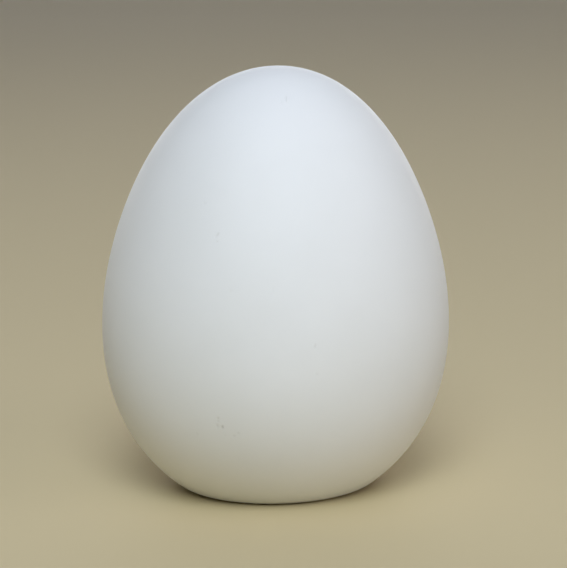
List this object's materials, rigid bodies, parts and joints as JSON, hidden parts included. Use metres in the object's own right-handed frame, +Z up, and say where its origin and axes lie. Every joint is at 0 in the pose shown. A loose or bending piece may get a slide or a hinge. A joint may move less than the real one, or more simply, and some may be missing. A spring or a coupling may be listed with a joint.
{
  "type": "duck egg",
  "caption": "Matte white duck egg standing upright, blunt end down, on a small flat foot.",
  "frame": {"origin": "middle of the flat foot, on the surface that the egg stands on", "axes": "+Z up from the foot to the tip, -Y towards the viewer, +X to the viewer's right, the way the egg leans very slightly"},
  "size_m": [0.048, 0.048, 0.058],
  "materials": {
    "eggshell": "matte off-white with a faint satin sheen, fine pores and a few small grey specks"
  },
  "bodies": {
    "root": {"egg": "eggshell"}
  },
  "joints": []
}
